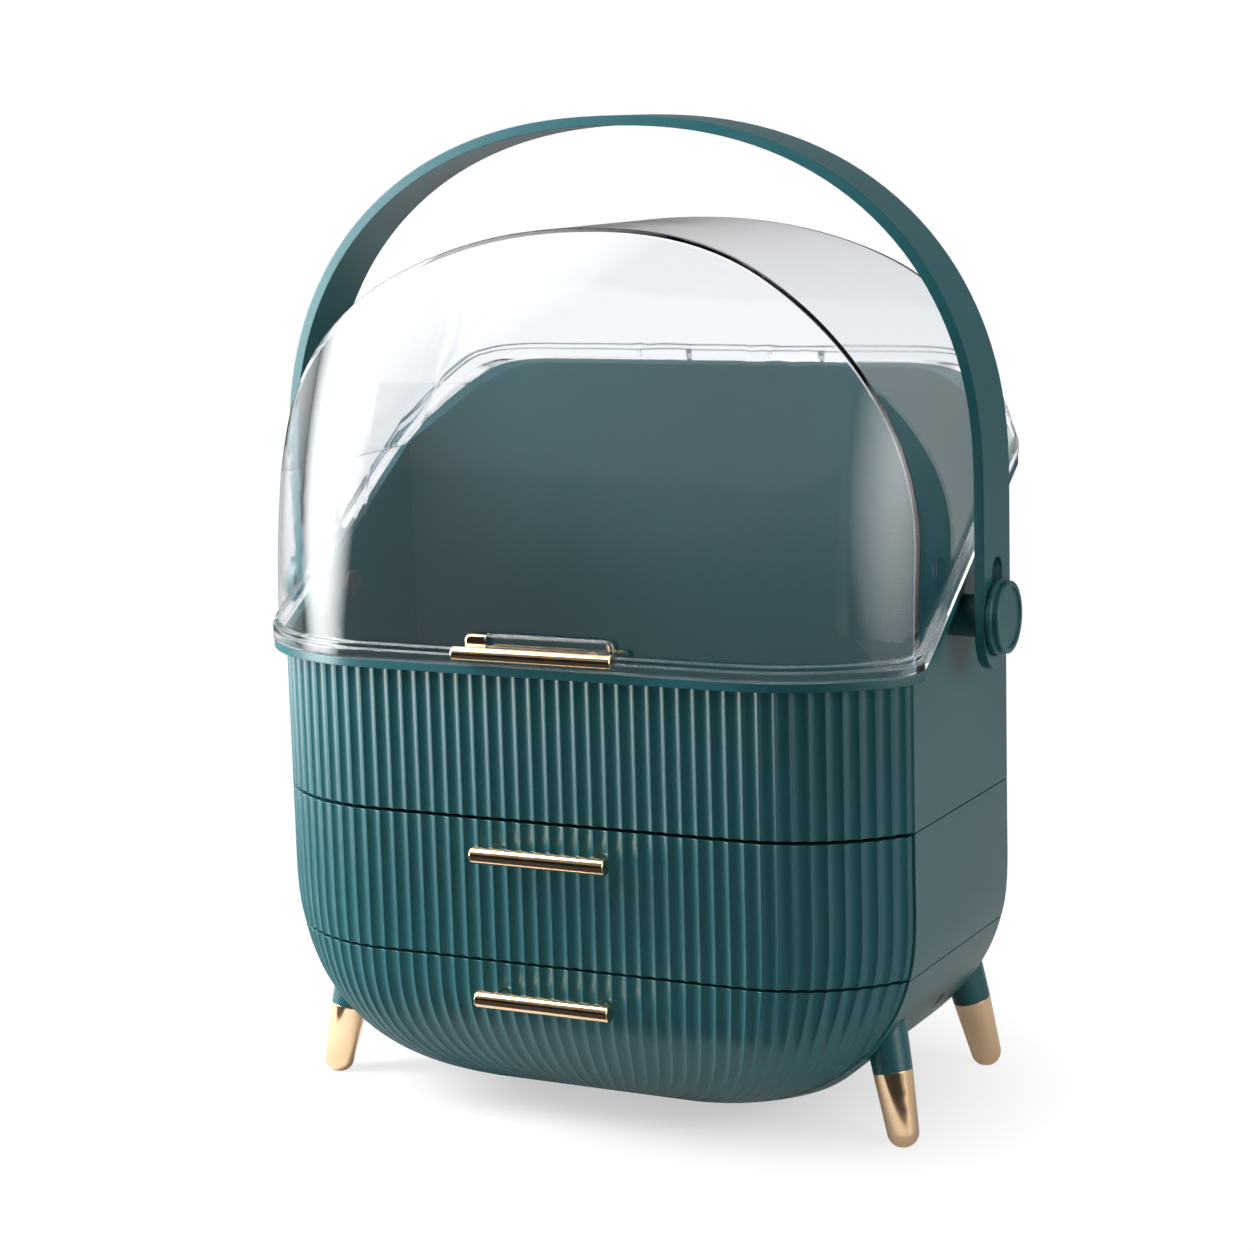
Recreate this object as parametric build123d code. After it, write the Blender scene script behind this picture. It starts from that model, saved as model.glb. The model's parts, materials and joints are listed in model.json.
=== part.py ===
from build123d import *
from math import asin, cos, floor, pi, radians, sin, sqrt
import os

# A cosmetic organizer box that stands on four legs, modelled in millimetres.
# Z is up from the surface that it stands on and the drawers open towards -Y.
# Heights are given from the upper seam, the gap between the bin and the upper drawer.

# Body plan, the same at the front and the back
HALF_WIDTH = 150.0
HALF_DEPTH = 91.7
CORNER_RADIUS = 76.4
CORNER_TURN = 58.3
WALL = 2.5
UPPER_SEAM_Z = 138.0
LOWER_SEAM_DROP = 62.8
SEAM_GAP = 0.5

# Bowl under the lower seam, an ellipse seen from the front and a circle seen from the side
BOWL_DROP = 131.0
BOWL_SIDE_START = 40.0
BOWL_SIDE_REACH = 95.0
BOWL_FRONT_RADIUS = 58.0
BOWL_FLAT_HALF = 4.0

# Flutes of the front, shallow hollows between sharp ridges
FLUTE_PITCH = 6.9
FLUTE_DEPTH = 1.3
LAST_FLUTE_SHARE = 0.3

# Rim line, the sloping top edge of the bin seen from the side
RIM_FRONT_Z = 66.0
RIM_FRONT_INSET = 33.7
RIM_KNEE_INSET = 26.7
RIM_KNEE_Z = 148.3
RIM_BACK_INSET = 2.2
RIM_BACK_Z = 178.0
RIM_FRONT_BEND = 24.0
RIM_KNEE_BEND = 60.0
RIM_BACK_BEND = 14.0
LIP_OVERHANG = 5.5
LIP_THICK = 3.6

# Clear lid
LID_WALL = 2.2
LID_OUTSET = 3.0
LID_SEAT_GAP = 0.4
BEAD_OVERHANG = 5.8
BEAD_TOP = 4.4
BAND_OVERHANG = 4.6
BAND_TOP = 6.8
DOME_SPRING_Z = 110.0
DOME_RISE = 135.4
DOME_POWER = 2.21
DOME_LEAN_START = 72.0
DOME_TOP_FRONT = 42.7
DOME_BACK_START = 182.0
DOME_TOP_BACK = 65.8
DOME_LEVELS = 4
TAB_HALF_LENGTH = 34.0
TAB_TOP_Z = 79.6
TAB_THICK = 3.3
TAB_CORNER = 2.8
TAB_EDGE = 1.2
TAB_CAP_LENGTH = 10.0

# Lid hinge along the back rim
HINGE_BEHIND = 11.5
HINGE_BELOW = 7.0
HINGE_LEAF_THICK = 2.0
HINGE_LEAF_GAP = 0.8
HINGE_PIN_RADIUS = 1.5
HINGE_KNUCKLE_RADIUS = 4.4
HINGE_HALF_LENGTH = 58.0
HINGE_OUTER_LENGTH = 12.0
HINGE_MIDDLE_HALF = 20.0
HINGE_END_GAP = 0.4
RUNNING_GAP = 0.06

# Drawers
FRONT_GAP = 1.6
FRONT_THICK = 4.0
FRONT_REVEAL = 0.6
TRAY_WALL = 2.0
TRAY_SIDE_ROOM = 12.0
LOWER_TRAY_SIDE_ROOM = 22.0
TRAY_BACK_ROOM = 13.7
DRAWER_TRAVEL = 107.5
TRAY_GAP = 0.15
TRAY_TOP_DROP = 6.0
LOWER_TRAY_DEPTH = 42.0
LOWER_TRAY_INSET = 8.0
TRAY_PAD_RADIUS = 4.5
PAD_GAP = 1.0
LOWER_RAIL_X = 60.0
RAIL_THICK = 3.0
SLIDE_GAP = 0.3
GUIDE_THICK = 2.4
GUIDE_HEIGHT = 6.0
GUIDE_FRONT_INSET = 53.7
GUIDE_BACK_INSET = 41.7
STOP_THICK = 2.0
STOP_HALF_WIDTH = 30.0
STOP_HEIGHT = 3.0
STOP_ROOM = 0.5
STOP_SHY = 1.5

# Bars
BAR_RADIUS = 3.65
LID_BAR_RADIUS = 3.1
BAR_FORWARD = 10.0
BAR_HALF_LENGTH = 31.6
LID_BAR_HALF_LENGTH = 37.3
LID_BAR_Z = 72.0
BAR_BELOW_SEAM = 14.0
BAR_EDGE = 0.6
POST_RADIUS = 2.2
POST_SINK = 0.7
POST_FLUTES = 7
SCREW_RADIUS = 1.2
SCREW_HEAD_RADIUS = 2.6
SCREW_HEAD_THICK = 1.6
SPOT_DEPTH = 0.5

# Screw posts that join the bin, the middle casing and the bowl
JOINT_POST_RADIUS = 3.8
JOINT_POST_BORE = 2.9
JOINT_BOSS_LENGTH = 8.0
JOINT_BRIDGE = 4.0
JOINT_BITE = 6.0
JOINT_BACK_X = 70.0
JOINT_BACK_INSET = 7.2
UPPER_JOINT_INSET = 7.0
UPPER_JOINT_Y = -45.0
LOWER_JOINT_INSET = 17.0
LOWER_JOINT_Y = 12.0

# Carry handle and its pivots
HANDLE_CLEAR = 7.4
HANDLE_THICK = 4.3
HANDLE_STRAP = 31.0
HANDLE_SPRING_Z = 140.0
HANDLE_RUN_IN = 12.0
HAND_ROOM = 41.9
HANDLE_POWER = 2.24
HANDLE_FOOT_Z = 60.0
PIVOT_Z = 82.0
PIVOT_Y = -3.9
PIVOT_PIN_RADIUS = 5.9
PIVOT_SLOT_GAP = 0.1
HANDLE_DROP = 19.3
BUTTON_RADIUS = 16.5
BUTTON_THICK = 5.4
BUTTON_BASE = 2.6
BUTTON_CAP_RADIUS = 15.2
BUTTON_RING = 2.4
BUTTON_DISH = 0.7
BUTTON_EDGE = 0.7
BOSS_RADIUS = 9.0
SIDE_GAP = 0.3
END_PLAY = 0.15
PIVOT_SHANK_RADIUS = 4.0
PIVOT_HEAD_RADIUS = 6.0

# Legs
LEG_FRONT_INSET = (10.0, 46.7)
LEG_BACK_INSET = (16.0, 17.7)
LEG_SPLAY_X = 0.21
LEG_FRONT_SPLAY = 0.1
LEG_BACK_SPLAY = 0.15
LEG_LENGTH = 66.0
LEG_TOP_RADIUS = 9.6
LEG_JOINT_RADIUS = 8.5
LEG_END_RADIUS = 6.8
FERRULE_LENGTH = 32.0
FOOT_FLAT = 0.7
STUD_RADIUS = 2.5
STUD_TOP = 48.0
STUD_BITE = 8.0

LOWER_SEAM_Z = UPPER_SEAM_Z - LOWER_SEAM_DROP
BOWL_BOTTOM_Z = UPPER_SEAM_Z - BOWL_DROP
SIDE_START_Z = UPPER_SEAM_Z - BOWL_SIDE_START
FRONT_START_Z = BOWL_BOTTOM_Z + BOWL_FRONT_RADIUS
SIDE_CENTRE_X = HALF_WIDTH - BOWL_SIDE_REACH
FRONT_CENTRE_Y = HALF_DEPTH - BOWL_FRONT_RADIUS
CORNER_ANGLE = radians(CORNER_TURN)
FLAT_HALF = HALF_WIDTH - CORNER_RADIUS * sin(CORNER_ANGLE)
CREASE_Y = HALF_DEPTH - CORNER_RADIUS * (1 - cos(CORNER_ANGLE))
FRONT_ARC_LENGTH = FLAT_HALF + CORNER_RADIUS * CORNER_ANGLE
HINGE_Y = HALF_DEPTH + HINGE_BEHIND
HINGE_Z = UPPER_SEAM_Z + RIM_BACK_Z - HINGE_BELOW
BAR_Y = -HALF_DEPTH - BAR_FORWARD
BACK_REACH = HINGE_Y + HINGE_KNUCKLE_RADIUS
FRONT_REACH = BAR_FORWARD + HALF_DEPTH + BAR_RADIUS
Y_SHIFT = (FRONT_REACH - BACK_REACH) / 2
POST_SPACING = POST_FLUTES * FLUTE_PITCH
RIM_FRONT_Y = RIM_FRONT_INSET - HALF_DEPTH
RIM_KNEE_Y = HALF_DEPTH - RIM_KNEE_INSET
RIM_BACK_Y = HALF_DEPTH - RIM_BACK_INSET
DOME_HALF_WIDTH = HALF_WIDTH + LID_OUTSET
DOME_TOP_Z = DOME_SPRING_Z + DOME_RISE
TRAY_HALF_WIDTH = HALF_WIDTH - TRAY_SIDE_ROOM
LOWER_TRAY_HALF_WIDTH = HALF_WIDTH - LOWER_TRAY_SIDE_ROOM
TRAY_BACK_Y = HALF_DEPTH - TRAY_BACK_ROOM
STOP_Y = TRAY_BACK_Y - TRAY_WALL - DRAWER_TRAVEL - STOP_ROOM - STOP_THICK
UPPER_JOINT = (HALF_WIDTH - UPPER_JOINT_INSET, UPPER_JOINT_Y)
LOWER_JOINT = (HALF_WIDTH - LOWER_JOINT_INSET, LOWER_JOINT_Y)
HANDLE_HALF_WIDTH = HALF_WIDTH + BEAD_OVERHANG + HANDLE_CLEAR + HANDLE_THICK
HANDLE_RISE = DOME_TOP_Z + HAND_ROOM + HANDLE_THICK - HANDLE_SPRING_Z
LEG_FRONT = (HALF_WIDTH - LEG_FRONT_INSET[0], LEG_FRONT_INSET[1] - HALF_DEPTH)
LEG_BACK = (HALF_WIDTH - LEG_BACK_INSET[0], HALF_DEPTH - LEG_BACK_INSET[1])
FAR = 2 * HALF_WIDTH


def save(node, *solids):
    """Write one node, moved so that the origin is under the middle of the whole object."""
    moved = [Pos(0, Y_SHIFT, 0) * solid for solid in solids]
    shape = moved[0] if len(moved) == 1 else Compound(children=moved)
    export_step(shape, f"parts/{node}.step")


def half_width(z, inset=0.0):
    """Half the body's width at height z, taken in by inset."""
    fall = max(0.0, SIDE_START_Z - z) / (SIDE_START_Z - BOWL_BOTTOM_Z - inset)
    return SIDE_CENTRE_X + (BOWL_SIDE_REACH - inset) * sqrt(max(0.0, 1 - fall**2))


def half_depth(z, inset=0.0):
    """Half the body's depth at height z, taken in by inset."""
    fall = max(0.0, FRONT_START_Z - z) / (BOWL_FRONT_RADIUS - inset)
    return FRONT_CENTRE_Y + (BOWL_FRONT_RADIUS - inset) * sqrt(max(0.0, 1 - fall**2))


class Section:
    """The body's outline at one height: flat fronts, curved corners that end at a crease, flat sides."""

    def __init__(self, z, inset=0.0):
        self.z = z
        self.wide = half_width(z, inset)
        self.deep = half_depth(z, inset)
        taken_in = (HALF_WIDTH - inset - self.wide) / BOWL_SIDE_REACH
        self.flat = FLAT_HALF - (FLAT_HALF - BOWL_FLAT_HALF) * taken_in**2
        radius = CORNER_RADIUS - inset
        self.angle = asin((HALF_WIDTH - inset - FLAT_HALF) / radius)
        crease = HALF_DEPTH - CORNER_RADIUS + radius * cos(self.angle)
        self.crease = crease * self.deep / (HALF_DEPTH - inset)

    def corner(self, share):
        """A point of the front right corner, from 0 at the flat to 1 at the crease."""
        turn = self.angle * share
        x = self.flat + (self.wide - self.flat) * sin(turn) / sin(self.angle)
        back = (self.deep - self.crease) * (1 - cos(turn)) / (1 - cos(self.angle))
        return Vector(x, back - self.deep, self.z)

    def front(self, run):
        """A point of the front, at a distance run along the full-size front from its middle."""
        side = 1 if run >= 0 else -1
        if abs(run) <= FLAT_HALF:
            return Vector(run * self.flat / FLAT_HALF, -self.deep, self.z)
        share = (abs(run) - FLAT_HALF) / (FRONT_ARC_LENGTH - FLAT_HALF)
        point = self.corner(min(1.0, share))
        return Vector(side * point.X, point.Y, self.z)

    def corner_curve(self, x_side, y_side, outwards):
        """One corner as a curve, from the flat to the crease or back again."""
        points = []
        for share in (0, 0.25, 0.5, 0.75, 1):
            point = self.corner(share)
            points.append(Vector(x_side * point.X, -y_side * point.Y, self.z))
        start = Vector(x_side, 0, 0)
        near = self.corner(0.999)
        last = self.corner(1)
        end = Vector(x_side * (last.X - near.X), -y_side * (last.Y - near.Y), 0).normalized()
        if outwards:
            return Spline(*points, tangents=(start, end))
        return Spline(*reversed(points), tangents=(end * -1, start * -1))

    def flutes(self):
        """The fluted front, from the left crease to the right crease."""
        ridges = floor(FRONT_ARC_LENGTH / FLUTE_PITCH - LAST_FLUTE_SHARE)
        runs = [-FRONT_ARC_LENGTH]
        runs += [index * FLUTE_PITCH for index in range(-ridges, ridges + 1)]
        runs.append(FRONT_ARC_LENGTH)
        arcs = []
        for left, right in zip(runs, runs[1:]):
            start = self.front(left)
            end = self.front(right)
            chord = end - start
            inward = Vector(-chord.Y, chord.X, 0).normalized()
            valley = self.front((left + right) / 2) + inward * (FLUTE_DEPTH * chord.length / FLUTE_PITCH)
            arcs.append(ThreePointArc(start, valley, end))
        return arcs

    def smooth_front(self):
        """The front without flutes, from the left crease to the right crease."""
        left = Vector(-self.flat, -self.deep, self.z)
        right = Vector(self.flat, -self.deep, self.z)
        return [self.corner_curve(-1, -1, False), Line(left, right), self.corner_curve(1, -1, True)]

    def face(self, fluted=False):
        """The whole outline as a flat face."""
        edges = self.flutes() if fluted else self.smooth_front()
        front_right = Vector(self.wide, -self.crease, self.z)
        back_right = Vector(self.wide, self.crease, self.z)
        edges.append(Line(front_right, back_right))
        edges.append(self.corner_curve(1, 1, False))
        edges.append(Line(Vector(self.flat, self.deep, self.z), Vector(-self.flat, self.deep, self.z)))
        edges.append(self.corner_curve(-1, 1, True))
        edges.append(Line(Vector(-self.wide, self.crease, self.z), Vector(-self.wide, -self.crease, self.z)))
        return make_face(Wire(edges))


def prism(bottom, top, inset=0.0, fluted=False):
    """The full-size body plan between two heights."""
    outline = Section(UPPER_SEAM_Z, inset).face(fluted)
    return extrude(Pos(0, 0, bottom - UPPER_SEAM_Z) * outline, amount=top - bottom, dir=(0, 0, 1))


def block(x_min, x_max, y_min, y_max, z_min, z_max):
    """A box given by its corners."""
    size = Box(x_max - x_min, y_max - y_min, z_max - z_min)
    return Pos((x_min + x_max) / 2, (y_min + y_max) / 2, (z_min + z_max) / 2) * size


def rod(start, end, radius, end_radius=None):
    """A round rod or cone between two points."""
    path = Vector(end) - Vector(start)
    plane = Plane(origin=start, z_dir=path)
    if end_radius is None:
        body = Cylinder(radius, path.length, align=(Align.CENTER, Align.CENTER, Align.MIN))
    else:
        body = Cone(radius, end_radius, path.length, align=(Align.CENTER, Align.CENTER, Align.MIN))
    return plane * body


def bowl_heights(top, inset=0.0):
    """Heights at which the bowl is cut into sections, closer together as it turns under."""
    floor = BOWL_BOTTOM_Z + inset
    heights = [top]
    steps = 7
    for step in range(steps + 1):
        z = FRONT_START_Z - (FRONT_START_Z - floor) * sin(radians(88) * step / steps)
        if z < top - 1:
            heights.append(z)
    return heights


def bowl(top, inset=0.0, fluted=False):
    """The bowl below the height top, closed at its flat bottom."""
    faces = [Section(z, inset).face(fluted) for z in bowl_heights(top, inset)]
    return loft(faces)


def middle(bottom, top, inset=0.0, fluted=False):
    """The body between the two seams, whose sides start to turn in."""
    heights = [bottom, (bottom + SIDE_START_Z) / 2, SIDE_START_Z, (SIDE_START_Z + top) / 2, top]
    return loft([Section(z, inset).face(fluted) for z in heights])


def rim_points(lift):
    """The rim line's corners in the YZ plane, moved out from the line by lift."""
    line = [
        Vector(-FAR, RIM_FRONT_Z),
        Vector(RIM_FRONT_Y, RIM_FRONT_Z),
        Vector(RIM_KNEE_Y, RIM_KNEE_Z),
        Vector(RIM_BACK_Y, RIM_BACK_Z),
        Vector(FAR, RIM_BACK_Z),
    ]
    moved = [line[0] + Vector(0, lift)]
    for before, here, after in zip(line, line[1:], line[2:]):
        first = (here - before).normalized()
        second = (after - here).normalized()
        first_out = Vector(-first.Y, first.X)
        second_out = Vector(-second.Y, second.X)
        bisector = (first_out + second_out).normalized()
        moved.append(here + bisector * (lift / bisector.dot(first_out)))
    moved.append(line[-1] + Vector(0, lift))
    return [Vector(0, point.X, point.Y + UPPER_SEAM_Z) for point in moved]


def above_rim(lift):
    """Everything higher than the rim line moved out by lift."""
    high = UPPER_SEAM_Z + DOME_TOP_Z + 40
    points = rim_points(lift)
    bends = [RIM_FRONT_BEND - lift, RIM_KNEE_BEND - lift, RIM_BACK_BEND + lift]
    rim = FilletPolyline(*points, radius=bends)
    sky = Polyline(points[-1], Vector(0, points[-1].Y, high), Vector(0, points[0].Y, high), points[0])
    profile = make_face([*rim.edges(), *sky.edges()])
    return extrude(profile, amount=FAR, dir=(1, 0, 0), both=True)


def rim_ring(low, high, overhang):
    """A solid slab that follows the rim line from low to high above it."""
    slab = prism(UPPER_SEAM_Z, UPPER_SEAM_Z + RIM_BACK_Z + 40, -overhang)
    return (slab & above_rim(low)) - above_rim(high)


def hinge_knuckle(x_min, x_max, on_lid):
    """One hinge knuckle with the web that joins it to the lid or to the bin."""
    barrel = rod((x_min, HINGE_Y, HINGE_Z), (x_max, HINGE_Y, HINGE_Z), HINGE_KNUCKLE_RADIUS)
    back_z = UPPER_SEAM_Z + RIM_BACK_Z
    if on_lid:
        bead_z = back_z + BEAD_TOP
        leaf_y = HALF_DEPTH + LIP_OVERHANG + HINGE_LEAF_GAP
        arm = block(x_min, x_max, HALF_DEPTH + 1, HINGE_Y, bead_z - HINGE_LEAF_THICK, bead_z)
        web = arm + block(x_min, x_max, leaf_y, HINGE_Y, HINGE_Z, bead_z)
    else:
        web = block(x_min, x_max, HALF_DEPTH - 1, HINGE_Y, HINGE_Z - HINGE_KNUCKLE_RADIUS,
                    back_z - LIP_THICK + 0.5)
    hole = HINGE_PIN_RADIUS + (RUNNING_GAP if on_lid else RUNNING_GAP / 2)
    bore = rod((x_min - 1, HINGE_Y, HINGE_Z), (x_max + 1, HINGE_Y, HINGE_Z), hole)
    return (barrel + web) - bore


def bin_spans():
    """The stretches of the hinge that belong to the bin."""
    outer = HINGE_HALF_LENGTH - HINGE_OUTER_LENGTH
    return [
        (-HINGE_HALF_LENGTH, -outer),
        (-HINGE_MIDDLE_HALF, HINGE_MIDDLE_HALF),
        (outer, HINGE_HALF_LENGTH),
    ]


def lid_spans():
    """The stretches of the hinge that belong to the lid."""
    inner = HINGE_MIDDLE_HALF + HINGE_END_GAP
    outer = HINGE_HALF_LENGTH - HINGE_OUTER_LENGTH - HINGE_END_GAP
    return [(-outer, -inner), (inner, outer)]


def bin_casing():
    """The open bin: fluted front, high back, floor and the lip along its sloping rim."""
    top = UPPER_SEAM_Z + RIM_BACK_Z + 20
    shell = prism(UPPER_SEAM_Z, top, fluted=True) - above_rim(0)
    lip = rim_ring(-LIP_THICK, 0, LIP_OVERHANG)
    casing = shell + lip
    for x_min, x_max in bin_spans():
        casing += hinge_knuckle(x_min, x_max, False)
    casing -= prism(UPPER_SEAM_Z + WALL, top + 1, WALL)
    casing += block(-STOP_HALF_WIDTH, STOP_HALF_WIDTH, STOP_Y, STOP_Y + STOP_THICK,
                    UPPER_SEAM_Z - STOP_HEIGHT, UPPER_SEAM_Z + WALL / 2)
    for boss in joint_bosses(UPPER_JOINT, UPPER_SEAM_Z):
        casing += boss
    for hole in joint_pilots(UPPER_JOINT, UPPER_SEAM_Z):
        casing -= hole
    for side in (-1, 1):
        casing -= pivot_line(side, HALF_WIDTH - WALL - 1, HALF_WIDTH + 1, PIVOT_SHANK_RADIUS + RUNNING_GAP)
    return casing


def pivot_height():
    """Height of the handle's pivots above the ground."""
    return UPPER_SEAM_Z + PIVOT_Z


def behind_fronts(shape):
    """The part of a shape behind the drawer fronts' back edges."""
    return shape - block(-FAR, FAR, -FAR, -CREASE_Y, -FAR, 2 * FAR)


def before_casings(shape):
    """The part of a shape in front of the casings' front edges."""
    return shape - block(-FAR, FAR, -CREASE_Y - FRONT_REVEAL, FAR, -FAR, 2 * FAR)


def guides(floor_z):
    """Two low ribs that keep a tray straight."""
    front_y = GUIDE_FRONT_INSET - HALF_DEPTH
    back_y = HALF_DEPTH - GUIDE_BACK_INSET
    ribs = []
    for side in (-1, 1):
        near = TRAY_HALF_WIDTH + SLIDE_GAP
        x_min, x_max = sorted((side * near, side * (near + GUIDE_THICK)))
        ribs.append(block(x_min, x_max, front_y, back_y, floor_z - WALL / 2, floor_z + GUIDE_HEIGHT))
    return ribs


def joint_places(beside):
    """Where the screws between two casings stand: two at the back and one at each side."""
    back_y = HALF_DEPTH - JOINT_BACK_INSET
    side_x, side_y = beside
    return [(-JOINT_BACK_X, back_y), (JOINT_BACK_X, back_y), (-side_x, side_y), (side_x, side_y)]


def joint_bosses(beside, seam_z):
    """Bosses under a casing's floor, down to where the screw posts meet them."""
    low = seam_z - JOINT_BOSS_LENGTH
    return [rod((x, y, low), (x, y, seam_z + WALL / 2), JOINT_POST_RADIUS) for x, y in joint_places(beside)]


def joint_pilots(beside, seam_z):
    """Pilot holes in the bosses for the screws' threads."""
    low = seam_z - JOINT_BOSS_LENGTH
    return [rod((x, y, low - 1), (x, y, low + JOINT_BITE), SCREW_RADIUS) for x, y in joint_places(beside)]


def joint_posts(beside, base_z, seam_z):
    """Posts that rise to the bosses of the casing above."""
    high = seam_z - JOINT_BOSS_LENGTH
    return [rod((x, y, base_z), (x, y, high), JOINT_POST_RADIUS) for x, y in joint_places(beside)]


def joint_bores(beside, base_z, seam_z):
    """The hollows of the posts, and clearance holes through the bridges that the screws' heads pull on."""
    high = seam_z - JOINT_BOSS_LENGTH
    bores = []
    for x, y in joint_places(beside):
        bores.append(rod((x, y, base_z), (x, y, high - JOINT_BRIDGE), JOINT_POST_BORE))
        bores.append(rod((x, y, base_z), (x, y, high + 1), SCREW_RADIUS))
    return bores


def joint_screws(beside, seam_z):
    """The four screws that join two casings from below."""
    seat = seam_z - JOINT_BOSS_LENGTH - JOINT_BRIDGE
    screws = []
    for x, y in joint_places(beside):
        shank = rod((x, y, seat), (x, y, seat + JOINT_BRIDGE + JOINT_BITE), SCREW_RADIUS)
        screws.append(shank + rod((x, y, seat - SCREW_HEAD_THICK), (x, y, seat), SCREW_HEAD_RADIUS))
    return screws


def middle_casing():
    """Side and back walls round the upper drawer, with the floor that it slides on."""
    top = UPPER_SEAM_Z - SEAM_GAP
    bottom = LOWER_SEAM_Z
    floor_top = bottom + WALL
    casing = behind_fronts(middle(bottom, top))
    above_floor = block(-FAR, FAR, -FAR, FAR, floor_top, top + 10)
    casing += middle(bottom, top, FRONT_THICK + TRAY_GAP) - above_floor
    casing -= middle(bottom - 1, top + 1, WALL) & above_floor
    for rib in guides(floor_top):
        casing += rib
    for post in joint_posts(UPPER_JOINT, bottom + WALL / 2, UPPER_SEAM_Z):
        casing += post
    for boss in joint_bosses(LOWER_JOINT, bottom):
        casing += boss
    for bore in joint_bores(UPPER_JOINT, bottom - 1, UPPER_SEAM_Z):
        casing -= bore
    for hole in joint_pilots(LOWER_JOINT, bottom):
        casing -= hole
    stop = block(-STOP_HALF_WIDTH, STOP_HALF_WIDTH, STOP_Y, STOP_Y + STOP_THICK,
                 bottom - STOP_HEIGHT, bottom + WALL / 2)
    return casing + stop


def front_panel(outer, inner):
    """A drawer front cut from the fluted body."""
    return before_casings(outer) - inner


def tray(outer_form, inner_form, half_width, floor_z, top_z):
    """An open drawer tray that follows the body's form, with a stop tab on its back wall."""
    high = top_z + 50
    limits = block(-half_width, half_width, -HALF_DEPTH, TRAY_BACK_Y, floor_z, top_z)
    room = block(-half_width + TRAY_WALL, half_width - TRAY_WALL, -HALF_DEPTH, TRAY_BACK_Y - TRAY_WALL,
                 floor_z + TRAY_WALL, high)
    body = (outer_form & limits) - (inner_form & room)
    tab = block(-STOP_HALF_WIDTH + 4, STOP_HALF_WIDTH - 4, TRAY_BACK_Y - TRAY_WALL, TRAY_BACK_Y,
                top_z - 1, top_z + TRAY_TOP_DROP - STOP_SHY)
    return body + tab


def bar(z, radius, half_length):
    """A turned bar with softened ends and two posts that reach back to the front."""
    body = rod((-half_length, BAR_Y, z), (half_length, BAR_Y, z), radius)
    return fillet(body.edges(), BAR_EDGE)


def bar_posts(z, back_y, radius):
    """The two posts of a bar, hidden behind it."""
    posts = []
    for x in (-POST_SPACING / 2, POST_SPACING / 2):
        posts.append(rod((x, BAR_Y, z), (x, back_y, z), radius))
    return posts


def pull_bar(z, radius, half_length, back_y):
    """A bar with its posts, tapped for the screws that hold it."""
    body = bar(z, radius, half_length)
    for post in bar_posts(z, back_y, POST_RADIUS):
        body += post
    for hole in bar_posts(z, back_y + 1, SCREW_RADIUS):
        body -= hole
    return body


def bar_sockets(z):
    """Round sockets in a fluted front that a bar's posts stand in."""
    seat = -HALF_DEPTH + POST_SINK
    left, right = bar_posts(z, seat, POST_RADIUS)
    return left + right


def screw(x, z, seat_y):
    """A pan-headed screw that comes from behind, seated at seat_y."""
    shank = rod((x, seat_y, z), (x, BAR_Y, z), SCREW_RADIUS)
    head = rod((x, seat_y, z), (x, seat_y + SCREW_HEAD_THICK, z), SCREW_HEAD_RADIUS)
    return shank + head


def bar_screws(z, seat_y):
    """Both screws of one bar."""
    return [screw(x, z, seat_y) for x in (-POST_SPACING / 2, POST_SPACING / 2)]


def drill(shape, z, radius):
    """Clear the holes for a bar's screws through a front."""
    for x in (-POST_SPACING / 2, POST_SPACING / 2):
        shape -= rod((x, -HALF_DEPTH - 20, z), (x, -HALF_DEPTH + 30, z), radius)
    return shape


def spot_faces(shape, z, seat_y):
    """Flatten the seats of a bar's screw heads."""
    for x in (-POST_SPACING / 2, POST_SPACING / 2):
        shape -= rod((x, seat_y, z), (x, seat_y + 2 * SCREW_HEAD_THICK, z), SCREW_HEAD_RADIUS + TRAY_GAP)
    return shape


def dome_lean(z, start, top_y):
    """How far a side of the lid has leant in at height z, on an arc from start to top_y at the dome's top."""
    run = DOME_TOP_Z - start
    lean = HALF_DEPTH + LID_OUTSET - top_y
    radius = (run**2 + lean**2) / (2 * lean)
    rise = max(0.0, z - UPPER_SEAM_Z - start)
    return radius - sqrt(radius**2 - rise**2)


def dome_plan(z, inset):
    """The lid's plan at height z, whose corners run on past the sides."""
    radius = CORNER_RADIUS + LID_OUTSET
    deep = HALF_DEPTH + LID_OUTSET
    side = DOME_HALF_WIDTH + LID_OUTSET
    lean = dome_lean(z, DOME_LEAN_START, DOME_TOP_FRONT) + inset
    back = dome_lean(z, DOME_BACK_START, DOME_TOP_BACK) + inset
    turn = CORNER_ANGLE
    mid = turn / 2
    end_x = FLAT_HALF + radius * sin(turn)
    end_y = -deep + radius * (1 - cos(turn))
    tail = (side - end_x) * sin(turn) / cos(turn)
    mid_x = FLAT_HALF + radius * sin(mid)
    mid_y = -deep + radius * (1 - cos(mid))
    front = [(mid_x, mid_y + lean), (end_x, end_y + lean), (side, end_y + tail + lean)]
    rear = [(mid_x, -mid_y - back), (end_x, -end_y - back), (side, -end_y - tail - back)]
    start = (FLAT_HALF, -deep + lean)
    finish = (FLAT_HALF, deep - back)

    def at(point, side_sign=1):
        return Vector(side_sign * point[0], point[1], z)

    edges = []
    for sign in (1, -1):
        edges.append(ThreePointArc(at(start, sign), at(front[0], sign), at(front[1], sign)))
        edges.append(Line(at(front[1], sign), at(front[2], sign)))
        edges.append(Line(at(front[2], sign), at(rear[2], sign)))
        edges.append(Line(at(rear[2], sign), at(rear[1], sign)))
        edges.append(ThreePointArc(at(rear[1], sign), at(rear[0], sign), at(finish, sign)))
    edges.append(Line(at(finish, 1), at(finish, -1)))
    edges.append(Line(at(start, -1), at(start, 1)))
    return make_face(edges)


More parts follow.
